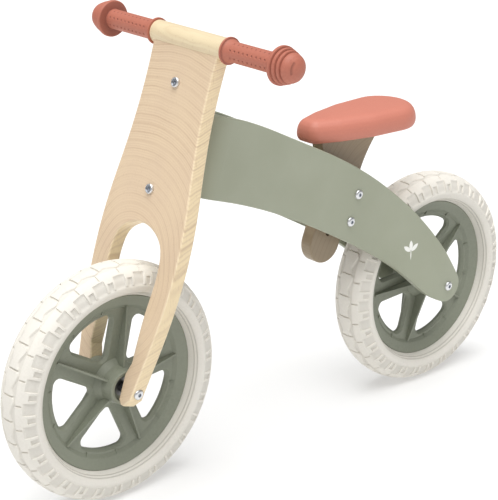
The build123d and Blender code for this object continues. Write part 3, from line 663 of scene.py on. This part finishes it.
def make_grip(name, node, side):
    """A lathe surface about the handlebar with rounded corners. Dimples and grooves lower
    its radius, and they and the valleys between the rings are marked as sunk, which paints them
    darker as shade."""
    low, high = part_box(node)
    centre = (low + high) / 2
    start = min(abs(low.y), abs(high.y))
    profile = rounded_profile(GRIP_PROFILE, 0.7, 5) * MM
    tube = np.column_stack([np.linspace(11.8 * MM, 82.6 * MM, TUBE_ROWS),
                            np.full(TUBE_ROWS, TUBE_R * MM)])
    profile = np.vstack([profile, tube])
    out, rad = profile[np.argsort(profile[:, 0], kind="stable")].T
    angle = np.linspace(0, 2 * np.pi, GRIP_POINTS, endpoint=False)
    place, turn = np.meshgrid(out, angle, indexing="ij")
    dimples = dimple_field(place, turn)
    grooves = ridges(place, GROOVES, GROOVE_WIDTH)
    grooves = grooves * np.clip((np.cos(turn - 0.3) - 0.70) * 12, 0, 1)
    valleys = ridges(place, VALLEYS, VALLEY_WIDTH)
    radius = rad[:, None] - dimples * DIMPLE_DEPTH - GROOVE_DEPTH * grooves
    radius = np.maximum(radius, 0.0)
    sunk = np.maximum(dimples, np.maximum(0.9 * grooves, 0.75 * valleys))
    points = np.stack([centre.x + radius * np.cos(turn), side * (start + place),
                       centre.z + radius * np.sin(turn)], -1)
    inner = np.stack([centre.x + BORE_R * MM * np.cos(turn[0]),
                      np.full(GRIP_POINTS, side * start),
                      centre.z + BORE_R * MM * np.sin(turn[0])], -1)
    hub = np.tile((centre.x, side * start, centre.z), (GRIP_POINTS, 1))
    points = np.concatenate([hub[None], inner[None], points])
    hollow = np.concatenate([np.zeros((2, GRIP_POINTS)), sunk])
    grip = grid_piece(name, [points], coral_rubber, sunk=hollow)
    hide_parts(node)
    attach(grip, "steering")


make_grip("left_rubber_grip", "left_grip", 1)
make_grip("right_rubber_grip", "right_grip", -1)

# %% [markdown]
# ## Seat
# The saddle is soft foam with a smooth moulded skin. Seen from above it is an egg: large
# circles behind and small ones in front, wrapped by a taut line. A cloth simulation
# would give a sewn cushion, but this one has no seams or slack, so its section is drawn:
# a nearly flat crown, a soft shoulder line, a full side and a rolled lower edge.


# %% Seat surface
OUTLINE_POINTS, DIRECTIONS, CROWN_ROWS = 240, 2881, 14
FRONT_CIRCLES = ((91.0, 0.0, 41.8), (43.0, 16.0, 15.5), (43.0, -16.0, 15.5),
                 (15.0, 6.0, 15.0), (15.0, -6.0, 15.0))     # mm back, mm across, radius
ROOF = 8.3                                  # mm up into the hollow underside
SEAT_PROFILE = [                            # mm in from the outline, and mm up
    (13.2, ROOF), (13.2, 0.0), (7.5, 0.0), (2.6, 1.6), (0.3, 6.0), (0.0, 11.0),
    (0.9, 17.0), (3.0, 22.2), (6.4, 26.2), (10.0, 28.2), (13.6, 29.1), (16.6, 29.6),
]


def egg_outline(samples):
    """Evenly spaced points of a taut line round six circles, outward normals, and the
    pad's lowest and highest z. The circle that reaches furthest in a direction carries
    the line there."""
    low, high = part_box("seat_pad")
    rear_r = (high.y - low.y) / 2
    circles = np.array([(low.x + rear_r, 0.0, rear_r)] + [
        (high.x - back * MM, across * MM, radius * MM) for back, across, radius in FRONT_CIRCLES])
    direction = np.linspace(-np.pi, np.pi, DIRECTIONS)
    normal = np.stack([np.cos(direction), np.sin(direction)], -1)
    carrier = np.argmax(normal @ circles[:, :2].T + circles[:, 2], axis=1)
    line = circles[carrier, :2] + normal * circles[carrier, 2:]
    gone = np.concatenate([[0.0], np.cumsum(np.linalg.norm(np.diff(line, axis=0), axis=1))])
    even = np.linspace(0.0, gone[-1], samples, endpoint=False)
    points = np.stack([np.interp(even, gone, line[:, axis]) for axis in (0, 1)], -1)
    facing = np.stack([np.interp(even, gone, normal[:, axis]) for axis in (0, 1)], -1)
    return points, facing / np.linalg.norm(facing, axis=1)[:, None], low.z, high.z


def make_seat():
    """Rings of the egg, each moved in along its normals by an inset and set at a height.

    The last rings shrink towards the middle, over a crown that is a shallow parabola."""
    outline, facing, floor_z, top_z = egg_outline(OUTLINE_POINTS)
    shell = rounded_profile(SEAT_PROFILE, 1.6, 4)
    rings = [np.column_stack([outline - facing * inset * MM,
                              np.full(len(outline), floor_z + height * MM)])
             for inset, height in shell]
    middle = outline.mean(0)
    edge = outline - facing * shell[-1, 0] * MM
    rise = top_z - floor_z - shell[-1, 1] * MM
    for share in np.linspace(0.94, 0.0, CROWN_ROWS):
        spot = middle + (edge - middle) * share
        height = floor_z + shell[-1, 1] * MM + rise * (1 - share ** 2)
        rings.append(np.column_stack([spot, np.full(len(spot), height)]))
    roof = np.append(middle, floor_z + ROOF * MM)
    rings.insert(0, np.tile(roof, (len(outline), 1)))
    seat = grid_piece("coral_seat", [np.array(rings)], coral_skin)
    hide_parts("seat_pad")
    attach(seat, "seat")


make_seat()

# %% [markdown]
# ## Screw heads
# Every visible screw is a domed button head with a hexagon socket in the floor of a round
# cup. They could be boolean cuts, but the head is a small polar grid whose inner rings
# follow a hexagon and whose outer rings follow a circle, which gives sharp socket walls
# and a round rim.


# %% Screw heads
HEAD_R, HEAD_H, SOCKET_R, SOCKET_H = 6.2 * MM, 3.4 * MM, 2.0 * MM, 1.2 * MM
RING_POINTS, DOME_ROWS = 48, 9


def head_tops(node, axis):
    """Centres of a node's heads: its vertices furthest along the axis, taken a group at a
    time, where a group is all those within a head's width of its first."""
    mesh = frame["nodes"][node].data
    flat = np.zeros(len(mesh.vertices) * 3)
    mesh.vertices.foreach_get("co", flat)
    corners = flat.reshape(-1, 3)
    height = corners @ axis
    top = corners[height > height.max() - 0.05 * MM]
    centres = []
    while len(top):
        near = np.linalg.norm(top - top[0], axis=1) < 2 * HEAD_R
        centres.append((top[near].min(0) + top[near].max(0)) / 2)
        top = top[~near]
    return centres


def screw_points(top, axis, shank_r, shank_length, cup_r, cup_depth):
    """Rings about the axis, each (share of hexagon, radius, height over the seat, sunk):
    shank, underside, rim, a dome that is a quarter ellipse, a round cup, and the socket in
    its floor. A hexagon's reach in a direction is its flat's distance over the cosine of
    the angle to the flat."""
    across = np.cross(axis, (0.31, 0.2, 0.93))
    across /= np.linalg.norm(across)
    upward = np.cross(axis, across)
    angle = np.linspace(0, 2 * np.pi, RING_POINTS, endpoint=False)
    hexagon = 1 / np.cos((angle + np.pi / 6) % (np.pi / 3) - np.pi / 6)
    bow = np.linspace(0.0, np.pi / 2, DOME_ROWS)
    dome_r, dome_h, floor_h = cup_r + 0.3 * MM, 0.9 * MM, HEAD_H - cup_depth
    rows = [(0, 0.0, -shank_length, 0), (0, shank_r, -shank_length, 0), (0, shank_r, 0.0, 0),
            (0, HEAD_R - 0.3 * MM, 0.0, 0), (0, HEAD_R, 0.3 * MM, 0)]
    dome = zip(dome_r + (HEAD_R - dome_r) * np.cos(bow), dome_h + (HEAD_H - dome_h) * np.sin(bow))
    rows += [(0, radius, height, 0) for radius, height in dome]
    # The cup and socket rows are marked sunk, which paints them darker as shade.
    rows += [(0, cup_r, HEAD_H - 0.1 * MM, 0), (0, cup_r - 0.15 * MM, floor_h, 0.7),
             (1, SOCKET_R, floor_h, 0.7), (1, SOCKET_R, floor_h - SOCKET_H, 1),
             (0, 0.0, floor_h - SOCKET_H, 1)]
    share, radius, height, sunk = np.array(rows).T
    reach = radius[:, None] * (1 + share[:, None] * (hexagon - 1))
    flat = reach[..., None] * (np.cos(angle)[:, None] * across + np.sin(angle)[:, None] * upward)
    return top + flat + (height - HEAD_H)[:, None, None] * axis, np.tile(sunk[:, None], RING_POINTS)


def make_screws(node, body, axes, shank_r, shank_length, cup_r=2.6, cup_depth=0.2):
    """One piece with all of a node's screws, each a surface of screw_points. Sizes in mm."""
    sizes = np.array((shank_r, shank_length, cup_r, cup_depth)) * MM
    made = [screw_points(top, np.array(axis), *sizes)
            for axis in axes for top in head_tops(node, np.array(axis))]
    screws = grid_piece(node + "_heads", [points for points, _ in made], bright_steel,
                        sunk=np.concatenate([sunk for _, sunk in made]))
    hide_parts(node)
    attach(screws, body)


LEFT, RIGHT = (0.0, 1.0, 0.0), (0.0, -1.0, 0.0)
make_screws("connector_bolts", "steering", [board_face], 3.0, 34.0, 4.5, 1.3)
make_screws("seat_bolts", "frame", [LEFT], 1.9, 38.0)
make_screws("seat_nuts", "frame", [RIGHT], 3.0, 78.0)
make_screws("front_axle_bolts", "steering", [LEFT, RIGHT], 2.4, 14.0)
make_screws("rear_axle_bolts", "frame", [LEFT, RIGHT], 2.4, 14.0)

# %% [markdown]
# The floor is a plain white sheet that glows a little, so that it stays white out to the
# horizon. Last, the box of the CAD parts is printed.


FLOOR_REACH, FLOOR_GLOW = 12.0, 0.34
floor_mesh = bpy.data.meshes.new("floor")
floor_corners = [(x * FLOOR_REACH, y * FLOOR_REACH, 0)
                 for x, y in ((-1, -1), (1, -1), (1, 1), (-1, 1))]
floor_mesh.from_pydata(floor_corners, [], [(0, 1, 2, 3)])
floor_paint, floor_tree, floor_shader = start_material("studio_floor", Roughness=0.9)
finish_with(floor_tree, floor_shader,
            blend_colour(floor_tree, noise(floor_tree, object_point(floor_tree), 0.6),
                         srgb(208, 208, 208), srgb(206, 206, 205)))
floor_shader.inputs["Emission Color"].default_value = (1.0, 1.0, 1.0, 1.0)
floor_shader.inputs["Emission Strength"].default_value = FLOOR_GLOW
floor_mesh.materials.append(floor_paint)
floor = bpy.data.objects.new("floor", floor_mesh)
bpy.context.scene.collection.objects.link(floor)
print("CAD box:", list(cad_low), list(cad_high))
